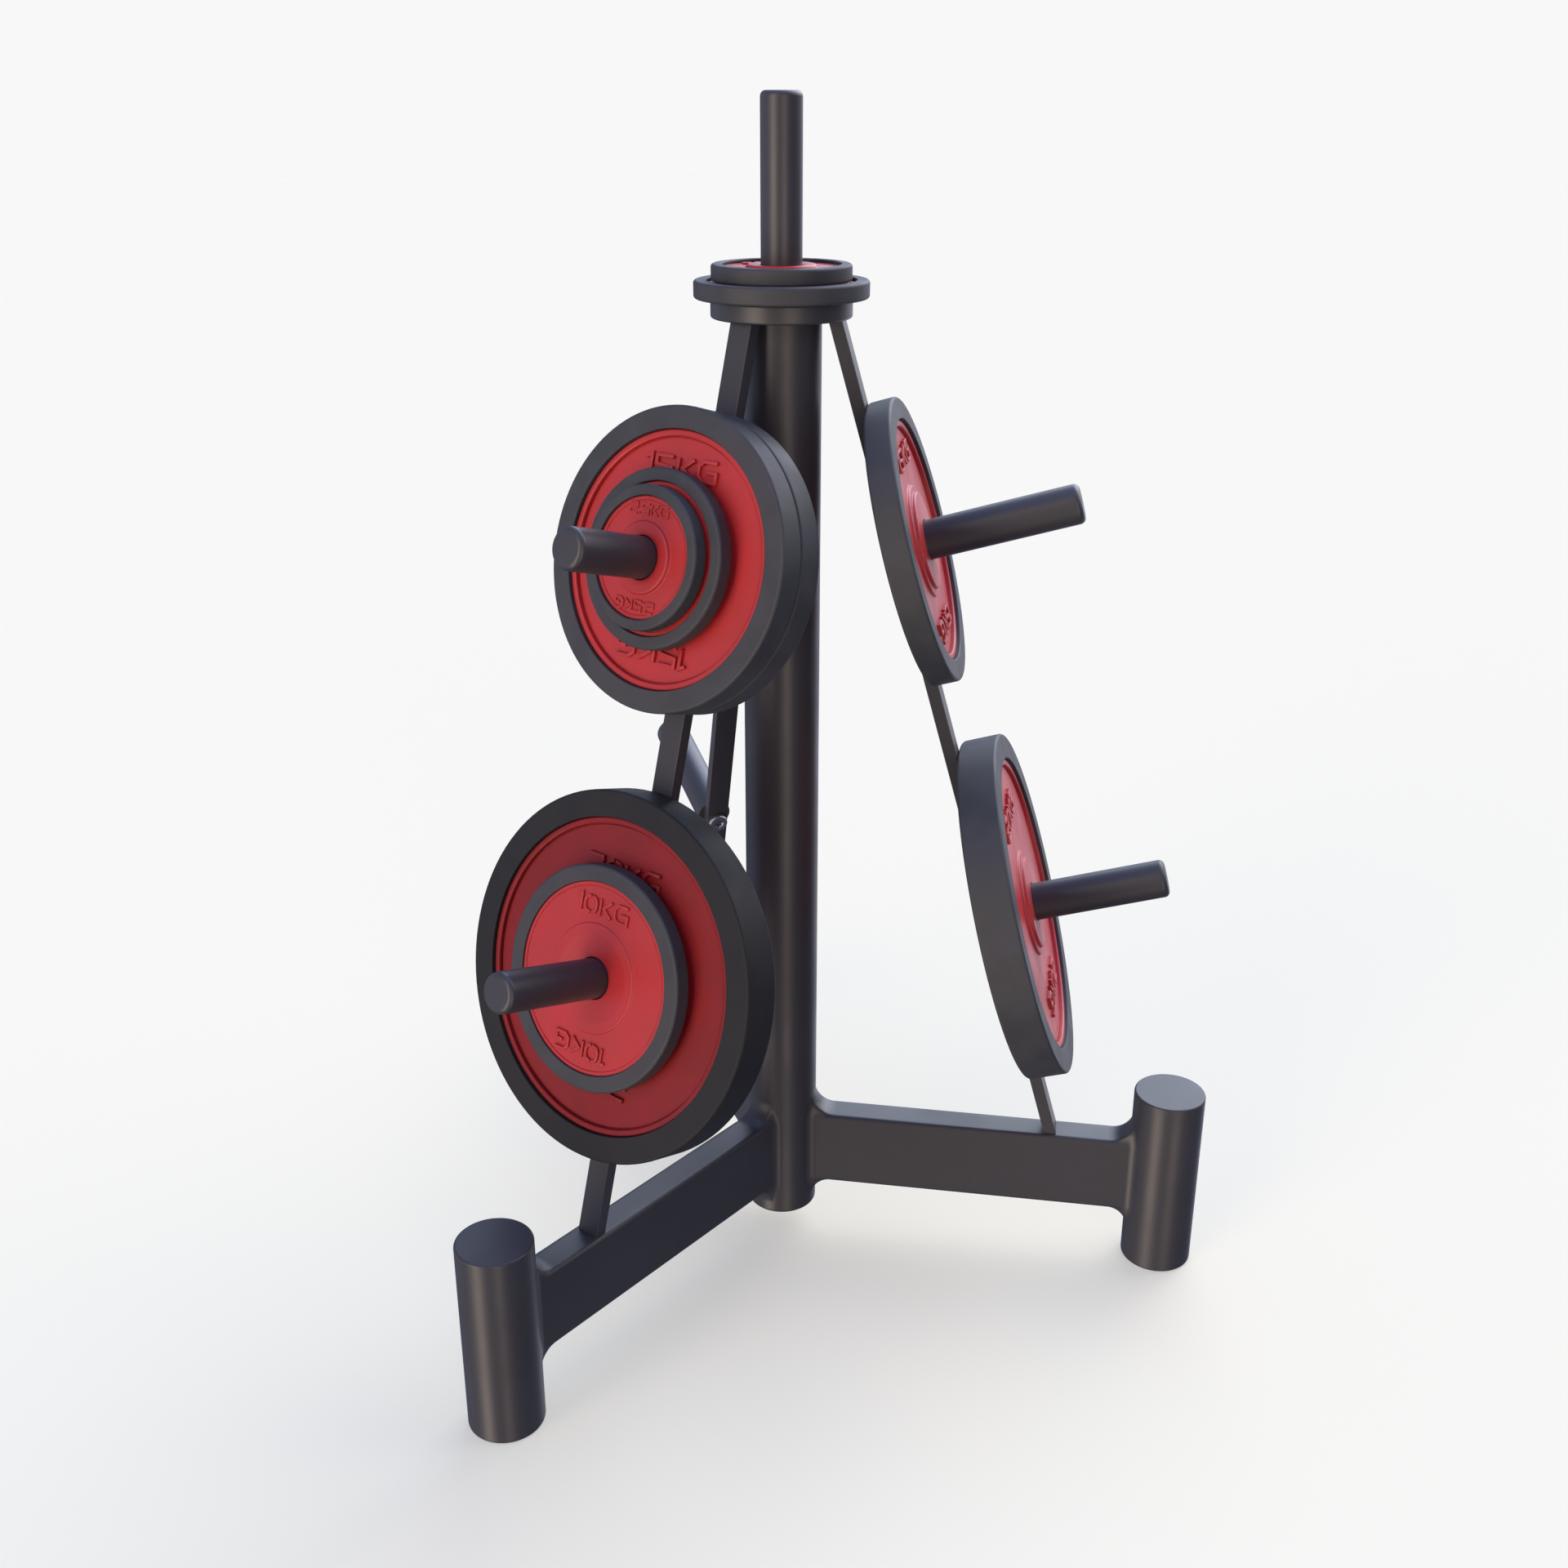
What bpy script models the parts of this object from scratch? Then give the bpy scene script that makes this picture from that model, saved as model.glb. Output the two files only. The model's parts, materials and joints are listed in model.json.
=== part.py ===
"""A three-legged stand for barbell plates, loaded with ten plates.

A round column stands on three horizontal legs, each ending in an upright foot post. A sloped flat
bar, the stay, runs from each leg up to a collar on the column, and carries two pegs square to its
outer face. A seventh peg stands on the collar. Each plate is a rubber rim on a cast core.

Metres, +Z up. The origin is on the floor, in the middle of the area that the loaded stand covers.
"""

import math
from collections import namedtuple

import bmesh
import bpy
from mathutils import Matrix

TOUCHING_GAP = 0.0003  # between pieces that touch on the real stand

# Column and collar
COLUMN_RADIUS = 0.048
COLUMN_WALL = 0.003
COLUMN_UNDERSIDE = 0.035
COLUMN_EDGE_ROUND = 0.005
COLLAR_OVERHANG = 0.0100  # beyond the outer faces of the stays
COLLAR_THICKNESS = 0.022
COLLAR_EDGE_ROUND = 0.003
COLLAR_UNDERSIDE = 1.274

# Base
FOOT_REACH = 0.535  # column axis to the axis of a foot post
FOOT_RADIUS = 0.0475
FOOT_WALL = 0.003
FOOT_HEIGHT = 0.2625
FOOT_TOP_ROUND = 0.003
FOOT_BASE_ROUND = 0.004
LEG_TOP = 0.1885
LEG_HEIGHT = 0.1085
LEG_WIDTH = 0.045
LEG_WALL = 0.003
LEG_EDGE_ROUND = 0.004
WELD_FILLET = 0.018  # where a leg flares into the column and into its foot post

# Stays
STAY_WIDTH = 0.032
STAY_THICKNESS = 0.016
STAY_EDGE_ROUND = 0.001
STAY_SETBACK = 0.1015  # foot post to the stay's outer face, on top of the leg
STAY_CLEAR_OF_COLUMN = 0.0096  # column to the stay's inner face, under the collar

# Pegs and their fasteners
PEG_RADIUS = 0.0245
PEG_WALL = 0.003
PEG_LENGTH = 0.222
PEG_BASE_THICKNESS = 0.014
PEG_END_ROUND = 0.005
UPPER_PEG_DROP = 0.270  # under the collar, where its axis meets the stay's outer face
LOWER_PEG_RISE = 0.3315  # above the leg
TOP_PEG_LENGTH = 0.227
BOLT_RADIUS = 0.006
BOLT_HOLE_CLEARANCE = 0.0004
BOLT_HEAD_RADIUS = 0.012
BOLT_HEAD_HEIGHT = 0.007
BOLT_HEAD_ROUND = 0.0025
BOLT_GRIP = 0.011  # how far the bolt reaches into the peg
HEX_KEY_SIZE = 0.010  # across flats
HEX_KEY_DEPTH = 0.004

# End caps of the column, the foot posts and the pegs
CAP_SHOULDER = 0.007
CAP_SPIGOT_DEPTH = 0.010

# Plates
BORE_CLEARANCE = 0.001  # around the peg
HUB_SINK = 0.002  # front of the hub below the front of the rim
RIM_EDGE_CUT = 0.0025
PlateSize = namedtuple("PlateSize", "radius core_radius thickness hub_radius recess")
PLATE_SIZES = {
    "20kg": PlateSize(0.2260, 0.1930, 0.0508, 0.0690, 0.0100),
    "15kg": PlateSize(0.1768, 0.1500, 0.0335, 0.0690, 0.0100),
    "10kg": PlateSize(0.1375, 0.1170, 0.0220, 0.0665, 0.0050),
    "5kg": PlateSize(0.1040, 0.0885, 0.0210, 0.0500, 0.0050),
    "2_5kg": PlateSize(0.0832, 0.0703, 0.0197, 0.0410, 0.0050),
}
# The plates on each peg, from the stay or the collar outwards: a weight and the name it is told by
LOADS = {
    "left_upper": (("15kg", "inner"), ("15kg", "outer"), ("5kg", ""), ("2_5kg", "")),
    "left_lower": (("20kg", ""), ("10kg", "")),
    "right_upper": (("15kg", ""),),
    "right_lower": (("20kg", ""),),
    "rear_upper": (),
    "rear_lower": (),
    "top": (("5kg", ""), ("2_5kg", "")),
}

SIDES = {"left": math.radians(210), "right": math.radians(330), "rear": math.radians(90)}

POST_SEGMENTS = 24  # a multiple of 3, so that the column's facets face each leg alike
PEG_SEGMENTS = 18
PLATE_SEGMENTS = 28
BOLT_SEGMENTS = 12
ARC_STEPS = 2

# Worked out from the sizes above
COLLAR_TOP = COLLAR_UNDERSIDE + COLLAR_THICKNESS
LEG_UNDERSIDE = LEG_TOP - LEG_HEIGHT
STAY_BOTTOM = LEG_TOP + TOUCHING_GAP
STAY_TOP = COLLAR_UNDERSIDE - TOUCHING_GAP
STAY_FOOT_REACH = FOOT_REACH - FOOT_RADIUS - STAY_SETBACK
BORE_RADIUS = PEG_RADIUS + BORE_CLEARANCE
BOLT_HOLE_RADIUS = BOLT_RADIUS + BOLT_HOLE_CLEARANCE
PEG_HEIGHTS = {"upper": COLLAR_UNDERSIDE - UPPER_PEG_DROP, "lower": LEG_TOP + LOWER_PEG_RISE}


def stay_tilt():
    """Angle from upright of a bar whose outer face meets the leg and inner face clears the column."""
    rise = COLLAR_UNDERSIDE - LEG_TOP
    run = STAY_FOOT_REACH - COLUMN_RADIUS - STAY_CLEAR_OF_COLUMN
    return math.acos(STAY_THICKNESS / math.hypot(run, rise)) - math.atan2(rise, run)


STAY_TILT = stay_tilt()


def stay_reach(height):
    """Distance of the stay's outer face from the column axis at this height."""
    return STAY_FOOT_REACH - (height - LEG_TOP) * math.tan(STAY_TILT)


COLLAR_RADIUS = stay_reach(COLLAR_UNDERSIDE) + COLLAR_OVERHANG


def load_offsets(load):
    """Where the back of each plate sits along its peg."""
    offsets = []
    rest = TOUCHING_GAP
    outermost = None
    for weight, _ in load:
        size = PLATE_SIZES[weight]
        if outermost and size.radius < outermost.core_radius:
            rest -= HUB_SINK
        offsets.append(rest)
        rest += size.thickness + TOUCHING_GAP
        outermost = size
    return offsets


def reach_in_front():
    """How far the base and the plates on the two front stays reach forward of the column axis."""
    reaches = [FOOT_REACH * math.sin(SIDES["left"] - math.pi) + FOOT_RADIUS]
    forward = math.sin(SIDES["left"] - math.pi)
    for level, height in PEG_HEIGHTS.items():
        load = LOADS[f"left_{level}"]
        axis_forward = math.cos(STAY_TILT) * forward
        for (weight, _), offset in zip(load, load_offsets(load)):
            size = PLATE_SIZES[weight]
            front = offset + size.thickness - RIM_EDGE_CUT
            centre = stay_reach(height) * forward + front * axis_forward
            reaches.append(centre + size.radius * math.sqrt(1 - axis_forward**2))
    return max(reaches)


# Scene -----------------------------------------------------------------------------------------


def clear_scene():
    for obj in list(bpy.data.objects):
        bpy.data.objects.remove(obj, do_unlink=True)


def make_collection(name):
    collection = bpy.data.collections.new(name)
    bpy.context.scene.collection.children.link(collection)
    return collection


def make_material(name, colour, roughness, metallic):
    material = bpy.data.materials.new(name)
    material.use_nodes = True
    shader = material.node_tree.nodes["Principled BSDF"]
    shader.inputs["Base Color"].default_value = (*colour, 1.0)
    shader.inputs["Roughness"].default_value = roughness
    shader.inputs["Metallic"].default_value = metallic
    return material


def powder_coat():
    return make_material("black_powder_coat", (0.045, 0.043, 0.045), 0.42, 0.2)


def cap_paint():
    return make_material("black_cap", (0.040, 0.042, 0.048), 0.38, 0.2)


def zinc_steel():
    return make_material("zinc_plated_steel", (0.33, 0.33, 0.37), 0.35, 0.9)


def rim_rubber():
    return make_material("black_rim_rubber", (0.047, 0.050, 0.054), 0.62, 0.0)


def core_enamel():
    return make_material("red_core_enamel", (0.48, 0.045, 0.058), 0.45, 0.0)


def add_empty(name, collection, parent=None, location=(0, 0, 0), rotation=(0, 0, 0)):
    empty = bpy.data.objects.new(name, None)
    empty.empty_display_size = 0.05
    empty.location = location
    empty.rotation_euler = rotation
    empty.parent = parent
    collection.objects.link(empty)
    return empty


def add_object(name, mesh, material, collection, parent, location=(0, 0, 0), rotation=(0, 0, 0)):
    obj = bpy.data.objects.new(name, mesh)
    if material and not mesh.materials:
        mesh.materials.append(material)
    obj.location = location
    obj.rotation_euler = rotation
    obj.parent = parent
    collection.objects.link(obj)
    return obj


def hide_cutter(cutter):
    cutter.hide_render = True
    cutter.display_type = "WIRE"


def cut(obj, cutter):
    modifier = obj.modifiers.new(f"cut_by_{cutter.name}"[:60], "BOOLEAN")
    modifier.operation = "DIFFERENCE"
    modifier.object = cutter


# Shapes ----------------------------------------------------------------------------------------


def outer_arc(radius, height, rounding, downwards):
    """Points of a rounded outer edge, in the order that a profile runs: down the outer side."""
    points = []
    for step in range(ARC_STEPS + 1):
        angle = math.pi / 2 * step / ARC_STEPS
        along = rounding * (1 - math.sin(angle))
        across = rounding * (1 - math.cos(angle))
        if downwards:
            points.append((radius - along, height - across))
        else:
            points.append((radius - across, height + along))
    return points


def turned_mesh(name, profile, closed):
    """A profile of (radius, height) points in the XZ plane, for a Screw modifier to turn."""
    mesh = bpy.data.meshes.new(name)
    shape = bmesh.new()
    verts = [shape.verts.new((radius, 0, height)) for radius, height in profile]
    for first, second in zip(verts, verts[1:]):
        shape.edges.new((first, second))
    if closed:
        shape.edges.new((verts[-1], verts[0]))
    shape.to_mesh(mesh)
    shape.free()
    return mesh


def add_turned(name, mesh, segments, material, collection, parent, **placing):
    obj = add_object(name, mesh, material, collection, parent, **placing)
    screw = obj.modifiers.new("turn", "SCREW")
    screw.steps = segments
    screw.render_steps = segments
    screw.use_merge_vertices = True
    screw.merge_threshold = 0.00001
    screw.use_smooth_shade = True
    return obj


def tube_profile(radius, wall, bottom, top):
    return [(radius - wall, top), (radius, top), (radius, bottom), (radius - wall, bottom)]


def cap_profile(radius, wall, rounding, end):
    """A cap whose outer face is at height end and whose spigot hangs below its shoulder."""
    shoulder = end - CAP_SHOULDER - rounding
    spigot = radius - wall - TOUCHING_GAP
    profile = [(0, end)]
    profile += outer_arc(radius, end, rounding, True)
    profile += [(radius, shoulder), (spigot, shoulder)]
    profile += [(spigot, shoulder - CAP_SPIGOT_DEPTH), (0, shoulder - CAP_SPIGOT_DEPTH)]
    return profile


def turned_over(profile, end):
    """The same profile upside down, with its outer face at height end."""
    highest = max(height for _, height in profile)
    return [(radius, end + highest - height) for radius, height in reversed(profile)]


def cylinder_mesh(name, radius, depth, segments):
    mesh = bpy.data.meshes.new(name)
    shape = bmesh.new()
    bmesh.ops.create_cone(
        shape, cap_ends=True, segments=segments, radius1=radius, radius2=radius, depth=depth
    )
    shape.to_mesh(mesh)
    shape.free()
    return mesh


def box_mesh(name, size):
    mesh = bpy.data.meshes.new(name)
    shape = bmesh.new()
    bmesh.ops.create_cube(shape, size=1, matrix=Matrix.Diagonal((*size, 1)))
    shape.to_mesh(mesh)
    shape.free()
    return mesh


# Column and collar -----------------------------------------------------------------------------


def cap_seat(rounding):
    """Distance from a cap's outer face to the end of the tube that it closes."""
    return CAP_SHOULDER + rounding + TOUCHING_GAP


def make_column(parts, stand, paint, caps):
    bottom = COLUMN_UNDERSIDE + cap_seat(COLUMN_EDGE_ROUND)
    top = COLLAR_UNDERSIDE - TOUCHING_GAP
    tube = turned_mesh("column_tube", tube_profile(COLUMN_RADIUS, COLUMN_WALL, bottom, top), True)
    add_turned("column_tube", tube, POST_SEGMENTS, paint, parts, stand)
    profile = cap_profile(COLUMN_RADIUS, COLUMN_WALL, COLUMN_EDGE_ROUND, COLUMN_UNDERSIDE)
    cap = turned_mesh("column_bottom_cap", turned_over(profile, COLUMN_UNDERSIDE), False)
    add_turned("column_bottom_cap", cap, POST_SEGMENTS, caps, parts, stand)


def make_collar(parts, stand, paint):
    profile = [(BOLT_HOLE_RADIUS, COLLAR_TOP)]
    profile += outer_arc(COLLAR_RADIUS, COLLAR_TOP, COLLAR_EDGE_ROUND, True)
    profile += outer_arc(COLLAR_RADIUS, COLLAR_UNDERSIDE, COLLAR_EDGE_ROUND, False)
    profile += [(BOLT_HOLE_RADIUS, COLLAR_UNDERSIDE)]
    collar = turned_mesh("top_collar", profile, True)
    add_turned("top_collar", collar, POST_SEGMENTS, paint, parts, stand)


# Base ------------------------------------------------------------------------------------------


def flare(distance):
    """How far a fillet stands out at this distance from the post that it runs into."""
    inside = min(max(WELD_FILLET - distance, 0), WELD_FILLET)
    return WELD_FILLET - math.sqrt(WELD_FILLET**2 - inside**2)


def leg_stations():
    """Distances from the column axis where the leg's section is set: close together in fillets."""
    near = COLUMN_RADIUS
    far = FOOT_REACH - FOOT_RADIUS
    stations = []
    for step in range(ARC_STEPS + 1):
        distance = WELD_FILLET * (1 - math.cos(math.pi / 2 * step / ARC_STEPS))
        stations += [near + distance, far - distance]
    return sorted(stations)


def leg_mesh():
    """A box from axis to axis whose sides flare out in a fillet at both posts."""
    mesh = bpy.data.meshes.new("base_leg")
    shape = bmesh.new()
    middle = Matrix.Translation((FOOT_REACH / 2, 0, LEG_TOP - LEG_HEIGHT / 2))
    size = Matrix.Diagonal((FOOT_REACH, LEG_WIDTH, LEG_HEIGHT, 1))
    bmesh.ops.create_cube(shape, size=1, matrix=middle @ size)
    long_edges = [edge for edge in shape.edges if abs(edge.verts[0].co.x - edge.verts[1].co.x) > 0.01]
    bmesh.ops.bevel(
        shape, geom=long_edges, offset=LEG_EDGE_ROUND, segments=1, affect="EDGES", profile=0.5
    )
    for station in leg_stations():
        everything = shape.verts[:] + shape.edges[:] + shape.faces[:]
        bmesh.ops.bisect_plane(shape, geom=everything, plane_co=(station, 0, 0), plane_no=(1, 0, 0))
    for vert in shape.verts:
        from_column = vert.co.x - COLUMN_RADIUS
        from_foot = FOOT_REACH - FOOT_RADIUS - vert.co.x
        growth = flare(min(from_column, from_foot))
        vert.co.y += math.copysign(growth, vert.co.y)
        vert.co.z += math.copysign(growth, vert.co.z - (LEG_TOP - LEG_HEIGHT / 2))
    shape.to_mesh(mesh)
    shape.free()
    return mesh


def make_leg_cutters(cutters, side, hub):
    """The two posts that the leg's ends are shaped to, and the hollow through the leg."""
    height = FOOT_HEIGHT * 2
    column = cylinder_mesh(
        f"{side}_leg_cut_column", COLUMN_RADIUS + TOUCHING_GAP, height, POST_SEGMENTS
    )
    foot = cylinder_mesh(f"{side}_leg_cut_foot", FOOT_RADIUS + TOUCHING_GAP, height, POST_SEGMENTS)
    inner = (FOOT_REACH, LEG_WIDTH - 2 * LEG_WALL, LEG_HEIGHT - 2 * LEG_WALL)
    hollow = box_mesh(f"{side}_leg_cut_hollow", inner)
    middle = LEG_TOP - LEG_HEIGHT / 2
    made = [
        add_object(column.name, column, None, cutters, hub, location=(0, 0, middle)),
        add_object(foot.name, foot, None, cutters, hub, location=(FOOT_REACH, 0, middle)),
        add_object(hollow.name, hollow, None, cutters, hub, location=(FOOT_REACH / 2, 0, middle)),
    ]
    for cutter in made:
        hide_cutter(cutter)
    return made


def make_leg(parts, cutters, side, hub, mesh, paint):
    leg = add_object(f"base_leg_{side}", mesh, paint, parts, hub)
    for cutter in make_leg_cutters(cutters, side, hub):
        cut(leg, cutter)
    return leg


def foot_meshes():
    bottom = cap_seat(FOOT_BASE_ROUND)
    top = FOOT_HEIGHT - cap_seat(FOOT_TOP_ROUND)
    upper = cap_profile(FOOT_RADIUS, FOOT_WALL, FOOT_TOP_ROUND, FOOT_HEIGHT)
    lower = turned_over(cap_profile(FOOT_RADIUS, FOOT_WALL, FOOT_BASE_ROUND, 0), 0)
    return {
        "post": turned_mesh("foot_post", tube_profile(FOOT_RADIUS, FOOT_WALL, bottom, top), True),
        "top_cap": turned_mesh("foot_top_cap", upper, False),
        "base_cap": turned_mesh("foot_base_cap", lower, False),
    }


def make_foot(parts, side, hub, meshes, paint, caps):
    place = {"location": (FOOT_REACH, 0, 0)}
    for kind, mesh in meshes.items():
        material = paint if kind == "post" else caps
        add_turned(f"foot_{kind}_{side}", mesh, POST_SEGMENTS, material, parts, hub, **place)


# Stays -----------------------------------------------------------------------------------------


def stay_mesh():
    """A flat bar in its own frame: +X out of its outer face, +Z up its slope, ends cut level."""
    mesh = bpy.data.meshes.new("stay")
    shape = bmesh.new()
    length = (STAY_TOP - STAY_BOTTOM) / math.cos(STAY_TILT)
    size = Matrix.Diagonal((STAY_THICKNESS, STAY_WIDTH, length, 1))
    middle = Matrix.Translation((-STAY_THICKNESS / 2, 0, 0))
    bmesh.ops.create_cube(shape, size=1, matrix=middle @ size)
    for vert in shape.verts:
        vert.co.z -= vert.co.x * math.tan(STAY_TILT)
    long_edges = [edge for edge in shape.edges if abs(edge.verts[0].co.z - edge.verts[1].co.z) > 0.1]
    bmesh.ops.bevel(shape, geom=long_edges, offset=STAY_EDGE_ROUND, segments=1, affect="EDGES")
    shape.to_mesh(mesh)
    shape.free()
    return mesh


def make_stay(parts, cutters, side, hub, mesh, paint):
    height = (STAY_TOP + STAY_BOTTOM) / 2
    place = {"location": (stay_reach(height), 0, height), "rotation": (0, -STAY_TILT, 0)}
    stay = add_object(f"stay_{side}", mesh, paint, parts, hub, **place)
    for level, peg_height in PEG_HEIGHTS.items():
        name = f"{side}_{level}_bolt_hole"
        hole = cylinder_mesh(name, BOLT_HOLE_RADIUS, 4 * STAY_THICKNESS, BOLT_SEGMENTS)
        along = (peg_height - height) / math.cos(STAY_TILT)
        cutter = add_object(
            name, hole, None, cutters, stay, location=(0, 0, along), rotation=(0, math.pi / 2, 0)
        )
        hide_cutter(cutter)
        cut(stay, cutter)


# Pegs ------------------------------------------------------------------------------------------


def peg_tube_mesh(length):
    """The tube stands on Z = 0, with a thick base that the bolt screws into, and is open above."""
    end = length - cap_seat(PEG_END_ROUND)
    inner = PEG_RADIUS - PEG_WALL
    profile = [(inner, end), (PEG_RADIUS, end), (PEG_RADIUS, TOUCHING_GAP)]
    profile += [(BOLT_HOLE_RADIUS, TOUCHING_GAP), (BOLT_HOLE_RADIUS, PEG_BASE_THICKNESS)]
    profile += [(inner, PEG_BASE_THICKNESS)]
    return turned_mesh("peg_tube", profile, True)


def peg_cap_mesh(length):
    return turned_mesh("peg_end_cap", cap_profile(PEG_RADIUS, PEG_WALL, PEG_END_ROUND, length), False)


def bolt_mesh(grip_through):
    """A button-head bolt whose head bears on the far side of what it fastens, below Z = 0."""
    bearing = -grip_through - TOUCHING_GAP
    bottom = bearing - BOLT_HEAD_HEIGHT
    profile = [(0, BOLT_GRIP), (BOLT_RADIUS, BOLT_GRIP), (BOLT_RADIUS, bearing)]
    profile += [(BOLT_HEAD_RADIUS, bearing)]
    profile += outer_arc(BOLT_HEAD_RADIUS, bottom, BOLT_HEAD_ROUND, False)
    profile += [(0, bottom)]
    return turned_mesh("peg_bolt", profile, False)


def make_bolt(parts, cutters, name, axis, grip_through, steel):
    bolt = add_turned(f"peg_{name}_bolt", bolt_mesh(grip_through), BOLT_SEGMENTS, steel, parts, axis)
    key_radius = HEX_KEY_SIZE / 2 / math.cos(math.pi / 6)
    socket = cylinder_mesh(f"{name}_bolt_socket", key_radius, 2 * HEX_KEY_DEPTH, 6)
    head_face = -grip_through - TOUCHING_GAP - BOLT_HEAD_HEIGHT
    cutter = add_object(socket.name, socket, None, cutters, axis, location=(0, 0, head_face))
    hide_cutter(cutter)
    cut(bolt, cutter)


def make_peg(parts, cutters, name, axis, length, grip_through, paint, caps, steel):
    add_turned(f"peg_{name}_tube", peg_tube_mesh(length), PEG_SEGMENTS, paint, parts, axis)
    add_turned(f"peg_{name}_end_cap", peg_cap_mesh(length), PEG_SEGMENTS, caps, parts, axis)
    make_bolt(parts, cutters, name, axis, grip_through, steel)


# Plates ----------------------------------------------------------------------------------------


def rim_mesh(weight):
    """A rubber ring whose back is at Z = 0."""
    size = PLATE_SIZES[weight]
    front = size.thickness
    profile = [
        (size.core_radius, front),
        (size.radius - RIM_EDGE_CUT, front),
        (size.radius, front - RIM_EDGE_CUT),
        (size.radius, RIM_EDGE_CUT),
        (size.radius - RIM_EDGE_CUT, 0),
        (size.core_radius, 0),
    ]
    return turned_mesh(f"plate_{weight}_rim", profile, True)


def core_mesh(weight):
    """The cast core inside the rim: a hub around the bore, and a web recessed on both faces."""
    size = PLATE_SIZES[weight]
    edge = size.core_radius - TOUCHING_GAP
    hub_front = size.thickness - HUB_SINK
    web_front = size.thickness - size.recess
    profile = [
        (BORE_RADIUS, hub_front),
        (size.hub_radius, hub_front),
        (size.hub_radius, web_front),
        (edge, web_front),
        (edge, size.recess),
        (size.hub_radius, size.recess),
        (size.hub_radius, 0),
        (BORE_RADIUS, 0),
    ]
    return turned_mesh(f"plate_{weight}_core", profile, True)


def plate_name(weight, told_by, peg_name):
    return "_".join(word for word in ("plate", weight, peg_name, told_by) if word)


def make_load(parts, peg_name, axis, meshes, rubber, enamel):
    load = LOADS[peg_name]
    for (weight, told_by), offset in zip(load, load_offsets(load)):
        name = plate_name(weight, told_by, peg_name)
        place = {"location": (0, 0, offset)}
        rim, core = meshes[weight]
        add_turned(f"{name}_rim", rim, PLATE_SEGMENTS, rubber, parts, axis, **place)
        add_turned(f"{name}_core", core, PLATE_SEGMENTS, enamel, parts, axis, **place)


# Assembly --------------------------------------------------------------------------------------


def peg_axis(parts, side, level, hub):
    """An empty on the peg's axis where it leaves the stay, with +Z along the peg."""
    height = PEG_HEIGHTS[level]
    return add_empty(
        f"axis_{side}_{level}",
        parts,
        hub,
        location=(stay_reach(height), 0, height),
        rotation=(0, math.pi / 2 - STAY_TILT, 0),
    )


def main():
    clear_scene()
    parts = make_collection("weight_plate_stand")
    cutters = make_collection("cutters")
    paint, caps, steel = powder_coat(), cap_paint(), zinc_steel()
    rubber, enamel = rim_rubber(), core_enamel()

    reach_behind = FOOT_REACH + FOOT_RADIUS
    stand = add_empty("stand", parts, location=(0, (reach_in_front() - reach_behind) / 2, 0))
    make_column(parts, stand, paint, caps)
    make_collar(parts, stand, paint)

    plates = {weight: (rim_mesh(weight), core_mesh(weight)) for weight in PLATE_SIZES}
    legs, stays, feet = leg_mesh(), stay_mesh(), foot_meshes()
    for side, azimuth in SIDES.items():
        hub = add_empty(f"side_{side}", parts, stand, rotation=(0, 0, azimuth))
        make_leg(parts, cutters, side, hub, legs, paint)
        make_foot(parts, side, hub, feet, paint, caps)
        make_stay(parts, cutters, side, hub, stays, paint)
        for level in PEG_HEIGHTS:
            name = f"{side}_{level}"
            axis = peg_axis(parts, side, level, hub)
            make_peg(parts, cutters, name, axis, PEG_LENGTH, STAY_THICKNESS, paint, caps, steel)
            make_load(parts, name, axis, plates, rubber, enamel)

    top = add_empty("axis_top", parts, stand, location=(0, 0, COLLAR_TOP))
    make_peg(parts, cutters, "top", top, TOP_PEG_LENGTH, COLLAR_THICKNESS, paint, caps, steel)
    make_load(parts, "top", top, plates, rubber, enamel)


main()
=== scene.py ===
"""A weight plate tree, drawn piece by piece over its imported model.

Metres, +Z up. Each operator models one piece or a group of like pieces, in the place that the model
gives it, and the last one lights and frames them.
"""

import json
import math

import bpy
from bpy.props import FloatProperty, FloatVectorProperty, IntProperty, PointerProperty
from bpy.types import Operator, Panel, PropertyGroup
from mathutils import Matrix, Vector

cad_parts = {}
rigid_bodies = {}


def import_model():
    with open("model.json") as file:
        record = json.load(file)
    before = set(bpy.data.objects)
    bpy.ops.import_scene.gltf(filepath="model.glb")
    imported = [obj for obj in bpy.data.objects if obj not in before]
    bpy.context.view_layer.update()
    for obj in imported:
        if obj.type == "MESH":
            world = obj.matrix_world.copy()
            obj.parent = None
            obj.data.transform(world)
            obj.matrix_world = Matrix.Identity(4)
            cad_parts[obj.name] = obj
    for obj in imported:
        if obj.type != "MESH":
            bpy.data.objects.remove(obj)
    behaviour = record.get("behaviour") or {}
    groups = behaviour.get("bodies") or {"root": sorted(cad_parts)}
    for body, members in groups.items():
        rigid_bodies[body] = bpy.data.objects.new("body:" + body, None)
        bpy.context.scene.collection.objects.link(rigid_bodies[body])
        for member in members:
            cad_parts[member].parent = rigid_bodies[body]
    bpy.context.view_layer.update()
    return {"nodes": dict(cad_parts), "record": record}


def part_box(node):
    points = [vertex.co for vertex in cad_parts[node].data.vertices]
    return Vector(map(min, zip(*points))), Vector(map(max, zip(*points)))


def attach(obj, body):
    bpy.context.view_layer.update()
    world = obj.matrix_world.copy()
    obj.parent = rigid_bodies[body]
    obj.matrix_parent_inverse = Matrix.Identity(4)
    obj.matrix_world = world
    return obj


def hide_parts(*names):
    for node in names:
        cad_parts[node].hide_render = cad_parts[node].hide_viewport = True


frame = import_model()

bl_info = {
    "name": "Weight plate tree",
    "version": (1, 0, 0),
    "blender": (4, 5, 0),
    "location": "View3D > Sidebar > Plate tree",
    "description": "Models a loaded weight plate tree, its finishes and its studio",
    "category": "Object",
}

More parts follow.
